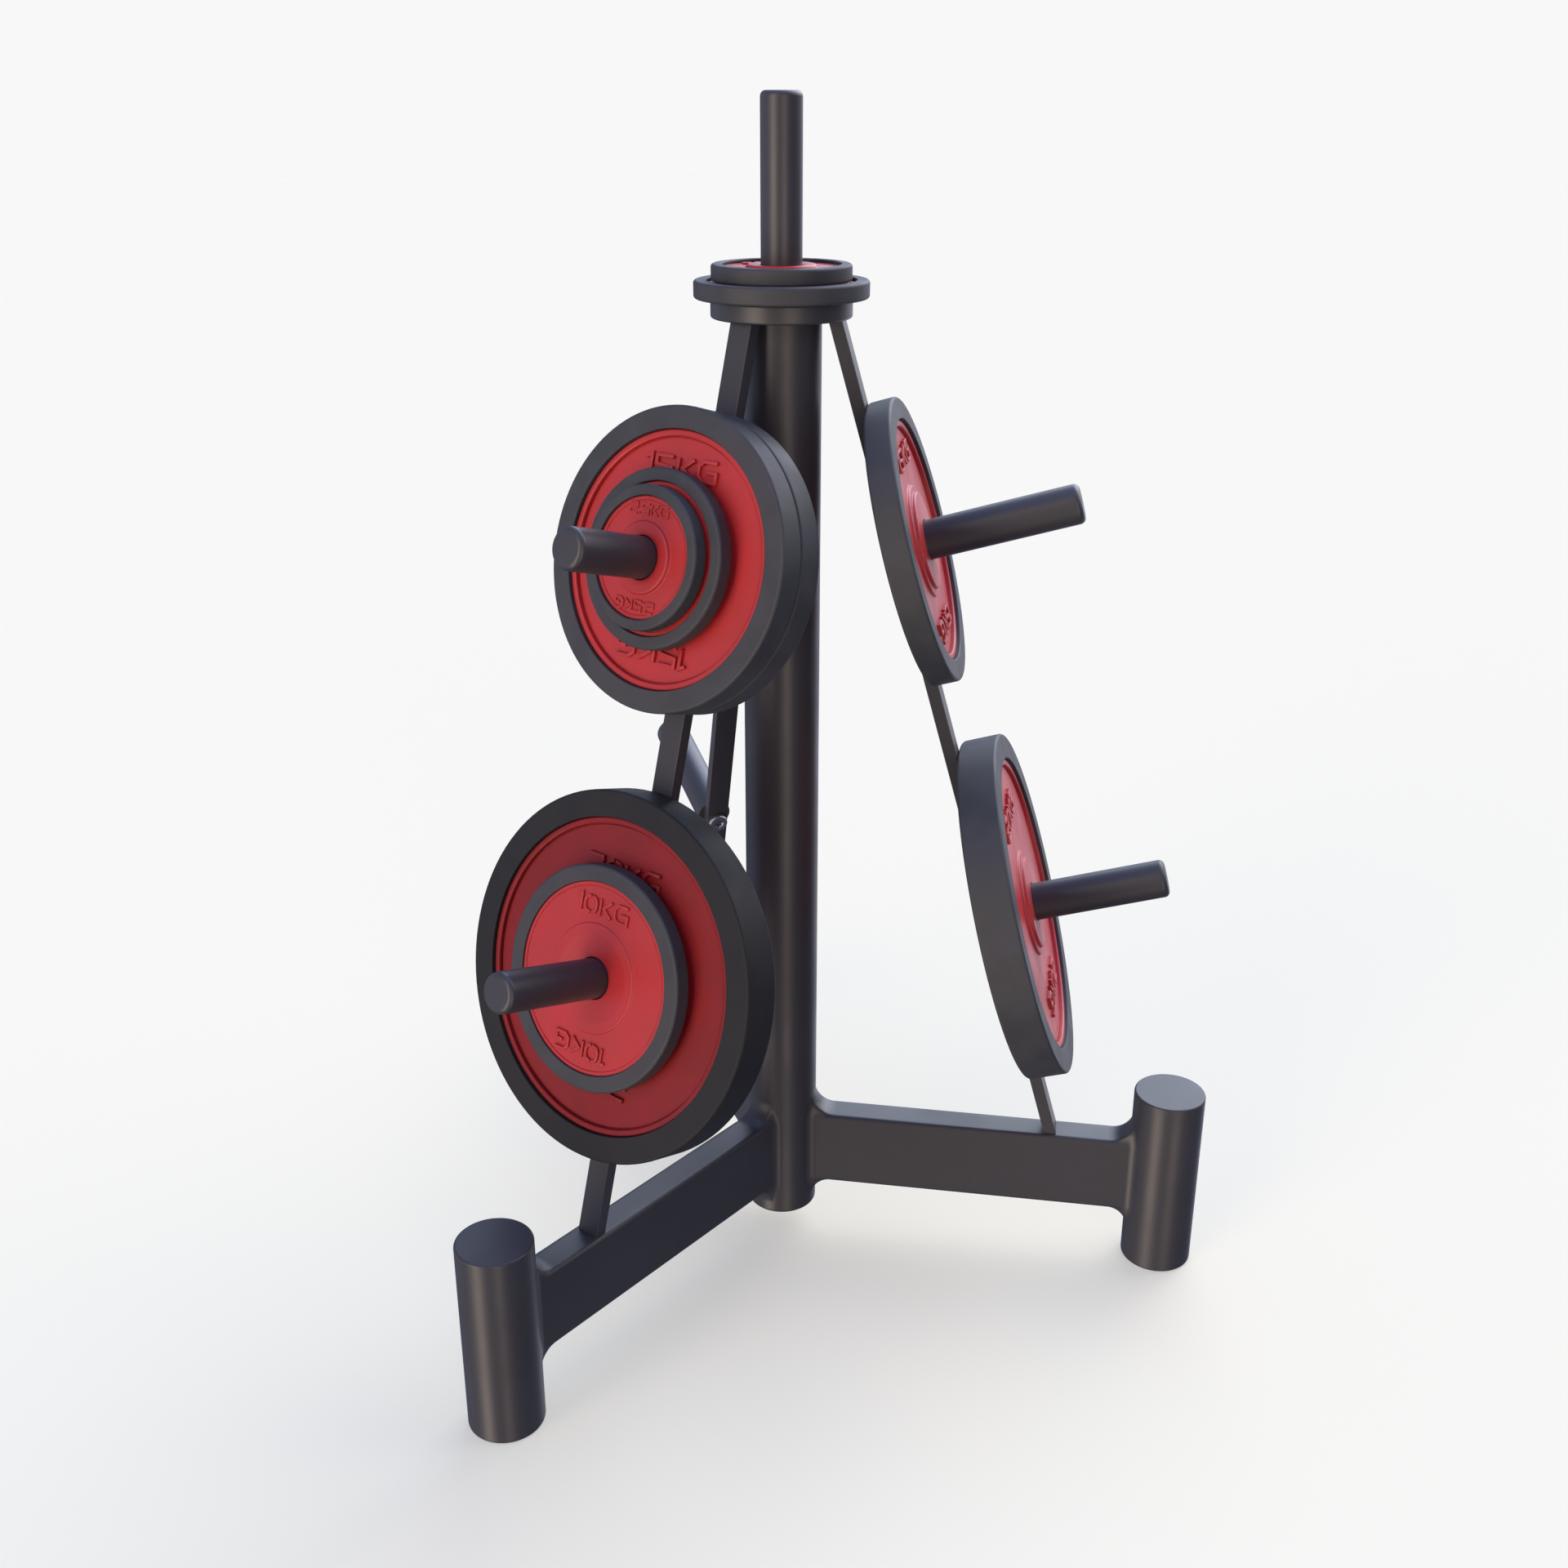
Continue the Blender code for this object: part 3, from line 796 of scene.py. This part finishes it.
MOST_HEAD = 0.009  # a bolt's head is thinner than this, and its shank is longer
BOLT_RIM_EDGE = 0.0004  # rounding where the head meets the stay
BOLT_TIP_EDGE = 0.0006  # rounding of the shank's end


def make_bolts():
    sizes = settings().stand
    for name in PEGS:
        node = f"peg_{name}_bolt"
        way = peg_way(name)
        foot = foot_on(node, way)
        radii, heights = section(node, standing(foot, way))
        head = radii[-1]
        shank = min(r for r in radii if head * 0.45 < r < head * 0.55)
        bearing = max(h for h in heights if h < MOST_HEAD) + TOUCHING_GAP
        corners = (
            (0, 0, 0),
            (head, 0, sizes.bolt_head_edge),
            (head, bearing, BOLT_RIM_EDGE),
            (shank, bearing, 0),
            (shank, heights[-1], BOLT_TIP_EDGE),
            (0, heights[-1], 0),
        )
        bolt = turned(f"bolt_{name}", corners, steps=48)
        deselect_all()
        bpy.ops.mesh.primitive_cylinder_add(
            vertices=6,
            radius=sizes.key_size / math.sqrt(3),
            depth=2 * sizes.key_depth,
            location=(0, 0, 0),
        )
        key = bpy.context.object
        socket = bolt.modifiers.new("Hex socket", "BOOLEAN")
        socket.object, socket.operation, socket.solver = key, "DIFFERENCE", "EXACT"
        apply_modifiers(bolt)
        remove(key)
        deselect_all()
        bolt.select_set(True)
        edit()
        closed_up(bolt)
        bolt.data.transform(standing(foot, way))
        fitted(bolt, "bolt_steel", "frame", node)


# Plates ---------------------------------------------------------------------------------------

# Each weight's mark: its words, how wide and high they are, how far from the bore their middle is
# and how far they stand out, in metres
MARKS = {
    "20kg": ("20KG", 0.120, 0.030, 0.127, 0.0044),
    "15kg": ("15KG", 0.112, 0.028, 0.107, 0.0044),
    "10kg": ("10KG", 0.085, 0.025, 0.088, 0.0028),
    "5kg": ("5KG", 0.046, 0.015, 0.0680, 0.0016),
    "2_5kg": ("2.5KG", 0.060, 0.0135, 0.0545, 0.0020),
}
# Plain letters of straight strokes, for a letter one unit high: the middle lines of each stroke
STROKES = {
    "0": (
        ((0.45, 0), (0.12, 0.1), (0, 0.32), (0, 0.68), (0.12, 0.9), (0.4, 1)),
        ((0.5, 1), (0.78, 0.9), (0.9, 0.68), (0.9, 0.32), (0.78, 0.1), (0.55, 0)),
    ),
    "1": (((0, 0.82), (0.3, 1), (0.3, 0)),),
    "2": (((0, 1), (0.85, 1), (0.85, 0.55), (0, 0.42), (0, 0), (0.9, 0)),),
    "5": (((0.9, 1), (0, 1), (0, 0.55), (0.85, 0.45), (0.85, 0), (0, 0)),),
    ".": (((0, 0), (0, 0.14)),),
    "K": (((0, 0), (0, 1)), ((0.85, 1), (0.26, 0.5), (0.85, 0))),
    "G": (
        (
            *((0.95, 1), (0.25, 1), (0, 0.75), (0, 0.25)),
            *((0.25, 0), (0.95, 0), (0.95, 0.48), (0.45, 0.48)),
        ),
    ),
}
DEEP = ("20kg", "15kg")
# Web and hub below the front of the rim, and how the hub dips towards the bore, on the others
SHALLOW = {
    "10kg": (0.0030, 0.0010, 0.0028),
    "5kg": (0.0050, 0.0020, 0.0008),
    "2_5kg": (0.0046, 0.0006, 0.0012),
}


def weight_of(body):
    return next(weight for weight in MARKS if body.startswith(f"plate_{weight}_"))


def plate_place(body):
    way = PLATES[body]
    return standing(foot_on(f"{body}_rim", way), way)


def deep_face(hub_top, web, bead, edge, hub, bore):
    """Corners of one face from bore to rim, by depth: stepped hub, web, groove and bead. The bare
    numbers are the casting's drafts and roundings, in metres."""
    sizes = settings().plate
    inner = edge - sizes.bead_width
    step = hub - sizes.hub_step
    ring = hub_top + sizes.hub_drop
    return [
        (bore, hub_top, sizes.bore_edge),
        (step, hub_top, sizes.hub_edge),
        (step + 0.0006, ring, 0.0012),
        (hub, ring, sizes.hub_edge),
        (hub + 0.0010, web, 0.0020),
        (inner - sizes.groove_width, web, 0.0005),
        (inner - sizes.groove_width + 0.0003, web + sizes.groove_depth, 0.0003),
        (inner - 0.0003, web + sizes.groove_depth, 0.0003),
        (inner, bead, 0.0024),
        (edge, bead, 0.0020),
    ]


def shallow_face(hub_top, web, dip, edge, hub, bore):
    """Corners of one face from bore to rim, by depth: dished soft hub, web and a fine groove. The
    bare numbers are the casting's drafts and roundings, in metres."""
    proud = web - hub_top
    line = edge - 0.0045
    return [
        (bore, hub_top + dip, settings().plate.bore_edge),
        (hub - 0.012, hub_top, 0.02),
        (hub, hub_top, min(0.003, proud * 0.8)),
        (hub + 0.0012, web, min(0.0015, proud * 0.5)),
        (line - 0.0012, web, 0.0004),
        (line - 0.0009, web + 0.0006, 0.0002),
        (line - 0.0003, web + 0.0006, 0.0002),
        (line, web - 0.0006, 0.0004),
        (edge, web - 0.0006, 0.0010),
    ]


def drawn(line, thickness):
    """The outline of a stroke along this line, mitred at its corners."""
    line = [Vector(spot) for spot in line]
    steps = [(end - start).normalized() for start, end in zip(line, line[1:])]
    sides = []
    for spot, before, after in zip(line, [steps[0], *steps], [*steps, steps[-1]]):
        along = (before + after).normalized()
        across = Vector((-along.y, along.x))
        sides.append((spot, across * (thickness / 2 / max(along.dot(before), 0.4))))
    return [spot + side for spot, side in sides] + [spot - side for spot, side in sides[::-1]]


def make_mark(weight):
    """The weight's mark, raised on a web at height zero, reading upwards along +Y."""
    words, width, height, distance, relief = MARKS[weight]
    sizes = settings().plate
    outline = bpy.data.curves.new("mark", "CURVE")
    outline.dimensions, outline.fill_mode = "2D", "BOTH"
    start = 0
    for letter in words:
        for line in STROKES[letter]:
            corners = drawn(line, sizes.stroke)
            spline = outline.splines.new("POLY")
            spline.points.add(len(corners) - 1)
            spline.use_cyclic_u = True
            for point, corner in zip(spline.points, corners):
                point.co = ((start + corner.x) * height, corner.y * height, 0, 1)
        widest = max(x for line in STROKES[letter] for x, _ in line)
        start += widest + sizes.stroke + sizes.letter_gap
    outline.bevel_depth = relief * 0.15
    outline.offset = -outline.bevel_depth
    outline.bevel_resolution = 1
    # Half the depth without the bevel: a mark is half as deep again as it stands out
    outline.extrude = relief * 0.6
    mark = bpy.data.objects.new("mark", outline)
    bpy.context.scene.collection.objects.link(mark)
    deselect_all()
    mark.select_set(True)
    bpy.context.view_layer.objects.active = mark
    bpy.ops.object.convert(target="MESH")
    edit()
    bpy.ops.mesh.remove_doubles(threshold=SAME_POINT)
    bpy.ops.mesh.normals_make_consistent(inside=False)
    bpy.ops.object.mode_set(mode="OBJECT")
    spots = [vert.co for vert in mark.data.vertices]
    low, high = ([pick(s[i] for s in spots) for i in range(3)] for pick in (min, max))
    mark.data.transform(
        Matrix.Diagonal((width / (high[0] - low[0]), height / (high[1] - low[1]), 1, 1))
        @ Matrix.Translation((-(low[0] + high[0]) / 2, -(low[1] + high[1]) / 2, 0))
    )
    mark.data.transform(Matrix.Translation((0, distance, relief - high[2])))
    return mark


def make_core(weight, body):
    """One weight's core, drawn at the origin with its back at zero height."""
    place = plate_place(body)
    radii, heights = section(f"{body}_core", place)
    bore, hub, edge = radii
    front = section(f"{body}_rim", place)[1][-1]
    sizes = settings().plate
    if weight in DEEP:
        web = front - heights[-2]
        sunk = front - heights[-1]
        face = deep_face(sunk, web, sizes.bead_depth, edge, hub, bore)
        back = deep_face(0, web, sizes.bead_depth, edge, hub, bore)
    else:
        web, sunk, dip = SHALLOW[weight]
        face = shallow_face(sunk, web, dip, edge, hub, bore)
        back = shallow_face(min(sunk, 0.0006), web, dip, edge, hub, bore)
    corners = [(r, front - depth, edge_round) for r, depth, edge_round in face]
    corners += [(r, depth, edge_round) for r, depth, edge_round in reversed(back)]
    core = turned(f"core_{weight}", corners, ring=True, steps=sizes.steps)
    mark = make_mark(weight)
    half_turn = Matrix.Rotation(math.pi, 4, "Z")
    faces = (
        Matrix.Translation((0, 0, front - web)),
        Matrix.Translation((0, 0, web)) @ Matrix.Rotation(math.pi, 4, "Y"),
    )
    for i, side in enumerate(faces):
        for j, turn in enumerate((Matrix.Identity(4), half_turn)):
            copy_of(mark, f"mark_{weight}_{i}{j}", side @ turn).select_set(True)
    remove(mark)
    core.select_set(True)
    bpy.context.view_layer.objects.active = core
    bpy.ops.object.join()
    bpy.ops.object.shade_smooth_by_angle(angle=ROUND_UNDER)
    return core


def make_rim(weight, body):
    place = plate_place(body)
    radii, heights = section(f"{body}_rim", place)
    inner, outer, front = radii[0], radii[-1], heights[-1]
    sizes = settings().plate
    corners = (
        (inner, 0, sizes.rim_lip),
        (outer, 0, sizes.rim_edge),
        (outer, front, sizes.rim_edge),
        (inner, front, sizes.rim_lip),
    )
    return turned(f"rim_{weight}", corners, ring=True, steps=sizes.steps)


def make_plates(kind, maker, slot):
    """Models one ring of each weight, and copies it onto every plate of that weight."""
    models = {}
    for body in PLATES:
        weight = weight_of(body)
        if weight not in models:
            models[weight] = maker(weight, body)
        piece = copy_of(models[weight], f"{kind}_{body.removeprefix('plate_')}", plate_place(body))
        fitted(piece, slot, body, f"{body}_{kind}")
    for model in models.values():
        remove(model)


# Studio ---------------------------------------------------------------------------------------


def from_camera(turn, rise):
    """A direction in the sky, in degrees: turned to the right of the camera, and raised."""
    heading = settings().studio.heading + math.radians(turn)
    rise = math.radians(rise)
    return Vector(
        (math.sin(heading) * math.cos(rise), -math.cos(heading) * math.cos(rise), math.sin(rise))
    )


def sky_lights():
    """Soft patches of light: direction, cosines where a patch starts and is full, brightness, tint
    and squeeze. A squeeze under 1 stretches the patch upwards and downwards."""
    look = settings().studio
    return (
        (UP, (0.60, 1.0), look.overhead, "#93B6FF", 1.0),
        (from_camera(156, 35), (0.80, 0.98), look.back_box, "#E2ECFF", 1.0),
        (from_camera(151, -13), (0.80, 0.98), look.behind, "#F4F4FF", 1.0),
        (from_camera(-45, -6), (0.945, 0.990), look.left_strip, "#FFEAD4", 0.22),
        (from_camera(16, -6), (0.965, 0.993), look.right_strip, "#FFE8D0", 0.22),
        (from_camera(116, 36), (0.78, 0.98), look.right_fill, "#FFF4EE", 1.0),
        (from_camera(-105, 5), (0.60, 0.95), look.left_fill, "#D6DEFF", 1.0),
    )


ROOM_TINT = "#B4C4F2"


def squeezed(way, squeeze):
    return Vector((way[0], way[1], way[2] * squeeze)).normalized()


def light_on_floor():
    """What an unshadowed white floor sends back, as linear RGB, summed over the upper sky."""
    total = Vector(linear(ROOM_TINT)) * settings().studio.room
    rings, spokes = 40, 72
    for i in range(rings):
        rise = math.acos(math.sqrt((i + 0.5) / rings))  # equal shares of a floor's light
        for k in range(spokes):
            turn = 2 * math.pi * (k + 0.5) / spokes
            way = Vector(
                (math.sin(rise) * math.cos(turn), math.sin(rise) * math.sin(turn), math.cos(rise))
            )
            for towards, (start, full), power, tint, squeeze in sky_lights():
                along = squeezed(way, squeeze).dot(squeezed(towards, squeeze))
                share = min(max((along - start) / (full - start), 0), 1)
                share = share * share * (3 - 2 * share)
                total += Vector(linear(tint)) * (power * share / (rings * spokes))
    return total


def light_from(tree, towards, edges, power, tint, squeeze):
    """Nodes for one patch of light. Returns its colour."""
    spot = add_node(tree, "ShaderNodeTexCoord").outputs["Generated"]
    spot = add_node(
        tree, "ShaderNodeVectorMath", {0: spot, 1: (1, 1, squeeze)}, operation="MULTIPLY"
    ).outputs[0]
    spot = add_node(tree, "ShaderNodeVectorMath", {0: spot}, operation="NORMALIZE").outputs[0]
    along = add_node(
        tree,
        "ShaderNodeVectorMath",
        {0: spot, 1: squeezed(towards, squeeze)},
        operation="DOT_PRODUCT",
    ).outputs["Value"]
    glow = add_node(
        tree,
        "ShaderNodeMapRange",
        {"Value": along, "From Min": edges[0], "From Max": edges[1], "To Max": power},
        interpolation_type="SMOOTHSTEP",
    ).outputs["Result"]
    return add_node(
        tree, "ShaderNodeVectorMath", {0: linear(tint), "Scale": glow}, operation="SCALE"
    ).outputs[0]


def light_the_sky():
    world = bpy.data.worlds.new("studio")
    bpy.context.scene.world = world
    world.use_nodes = True
    tree = world.node_tree
    tree.nodes.clear()
    total = add_node(
        tree,
        "ShaderNodeVectorMath",
        {0: linear(ROOM_TINT), "Scale": settings().studio.room},
        operation="SCALE",
    ).outputs[0]
    for light in sky_lights():
        total = add_node(
            tree, "ShaderNodeVectorMath", {0: total, 1: light_from(tree, *light)}, operation="ADD"
        ).outputs[0]
    sky = add_node(tree, "ShaderNodeBackground", {"Color": total, "Strength": 1.0})
    add_node(tree, "ShaderNodeOutputWorld", {"Surface": sky.outputs[0]})


def hide_from_light(piece):
    """Shows a stage piece to the camera only, so that it doesn't light the stand."""
    piece.visible_diffuse = piece.visible_glossy = False
    piece.visible_transmission = piece.visible_volume_scatter = piece.visible_shadow = False


def make_stage():
    scene = bpy.context.scene
    look = settings().studio
    pale = settings().finish.floor
    light_the_sky()

    deselect_all()
    # Half a millimetre low, so that it doesn't lie in the plane of the feet
    bpy.ops.mesh.primitive_circle_add(
        vertices=96, radius=STAGE_RADIUS, fill_type="NGON", location=(0, 0, -0.0005)
    )
    floor = bpy.context.object
    floor.name = "floor"
    hide_from_light(floor)
    material, tree = new_material("pale_studio_floor")
    glow = add_node(
        tree, "ShaderNodeEmission", {"Color": (*pale, 1), "Strength": 1 - look.shadow}
    )
    # The paint is worked out from the light, so that the open floor is as pale as the surround
    paint = [c * look.shadow / light for c, light in zip(pale, light_on_floor())]
    matt = add_node(tree, "ShaderNodeBsdfDiffuse", {"Color": (*paint, 1)})
    both = add_node(tree, "ShaderNodeAddShader", {0: glow.outputs[0], 1: matt.outputs[0]})
    finish_output(tree, both)
    floor.data.materials.append(material)

    bpy.ops.mesh.primitive_uv_sphere_add(
        segments=48, ring_count=24, radius=STAGE_RADIUS - 1, location=(0, 0, 0)
    )
    surround = bpy.context.object
    surround.name = "surround"
    hide_from_light(surround)
    material, tree = new_material("pale_studio_surround")
    finish_output(tree, add_node(tree, "ShaderNodeEmission", {"Color": (*pale, 1)}))
    surround.data.materials.append(material)

    camera_data = bpy.data.cameras.new("camera")
    camera_data.lens = look.lens
    camera_data.sensor_width = 36
    camera_data.clip_end = 200
    camera = bpy.data.objects.new("camera", camera_data)
    camera.location = look.camera
    camera.rotation_euler = (math.pi / 2 - look.pitch, 0, look.heading)
    scene.collection.objects.link(camera)
    scene.camera = camera
    scene.view_settings.view_transform = "Standard"


# Operators ------------------------------------------------------------------------------------


class PLATETREE_OT_column(Operator):
    """Model the round column with its rounded lower end"""

    bl_idname = "plate_tree.column"
    bl_label = "Column"

    def execute(self, context):
        make_column()
        return {"FINISHED"}


class PLATETREE_OT_collar(Operator):
    """Model the collar on top of the column"""

    bl_idname = "plate_tree.collar"
    bl_label = "Collar"

    def execute(self, context):
        make_collar()
        return {"FINISHED"}


class PLATETREE_OT_legs(Operator):
    """Model the three legs, flowing into the column and the foot posts"""

    bl_idname = "plate_tree.legs"
    bl_label = "Legs"

    def execute(self, context):
        make_legs()
        return {"FINISHED"}


class PLATETREE_OT_feet(Operator):
    """Model the three foot posts"""

    bl_idname = "plate_tree.feet"
    bl_label = "Foot posts"

    def execute(self, context):
        make_feet()
        return {"FINISHED"}


class PLATETREE_OT_stays(Operator):
    """Model the three sloped flat bars"""

    bl_idname = "plate_tree.stays"
    bl_label = "Stays"

    def execute(self, context):
        make_stays()
        return {"FINISHED"}


class PLATETREE_OT_pegs(Operator):
    """Model the seven pegs that the plates hang on"""

    bl_idname = "plate_tree.pegs"
    bl_label = "Pegs"

    def execute(self, context):
        make_pegs()
        return {"FINISHED"}


class PLATETREE_OT_bolts(Operator):
    """Model the hexagon-socket bolts that hold the pegs"""

    bl_idname = "plate_tree.bolts"
    bl_label = "Bolts"

    def execute(self, context):
        make_bolts()
        return {"FINISHED"}


class PLATETREE_OT_rims(Operator):
    """Model the plates' rubber rims"""

    bl_idname = "plate_tree.rims"
    bl_label = "Plate rims"

    def execute(self, context):
        make_plates("rim", make_rim, "rim_rubber")
        return {"FINISHED"}


class PLATETREE_OT_cores(Operator):
    """Model the plates' cast cores with their raised marks"""

    bl_idname = "plate_tree.cores"
    bl_label = "Plate cores"

    def execute(self, context):
        make_plates("core", make_core, "core_enamel")
        return {"FINISHED"}


class PLATETREE_OT_stage(Operator):
    """Set up the floor, the light and the camera"""

    bl_idname = "plate_tree.stage"
    bl_label = "Studio"

    def execute(self, context):
        make_stage()
        return {"FINISHED"}


OPERATORS = (
    PLATETREE_OT_column,
    PLATETREE_OT_collar,
    PLATETREE_OT_legs,
    PLATETREE_OT_feet,
    PLATETREE_OT_stays,
    PLATETREE_OT_pegs,
    PLATETREE_OT_bolts,
    PLATETREE_OT_rims,
    PLATETREE_OT_cores,
    PLATETREE_OT_stage,
)


class PLATETREE_PT_panel(Panel):
    """The plate tree's pieces, in the order that they are made"""

    bl_idname = "PLATETREE_PT_panel"
    bl_label = "Plate tree"
    bl_space_type = "VIEW_3D"
    bl_region_type = "UI"
    bl_category = "Plate tree"

    def draw(self, context):
        for operator in OPERATORS:
            self.layout.operator(operator.bl_idname)
        for group in ("stand", "plate", "finish", "studio"):
            box = self.layout.box()
            owner = getattr(context.scene.plate_tree, group)
            for name in owner.__annotations__:
                box.prop(owner, name)


CLASSES = (StandSizes, PlateSizes, Finishes, Studio, PlateTree, *OPERATORS, PLATETREE_PT_panel)


def register():
    for cls in CLASSES:
        bpy.utils.register_class(cls)
    bpy.types.Scene.plate_tree = PointerProperty(type=PlateTree)


def unregister():
    del bpy.types.Scene.plate_tree
    for cls in reversed(CLASSES):
        bpy.utils.unregister_class(cls)


def main():
    register()
    for operator in OPERATORS:
        getattr(bpy.ops.plate_tree, operator.bl_idname.split(".")[1])()


if __name__ == "__main__":
    main()
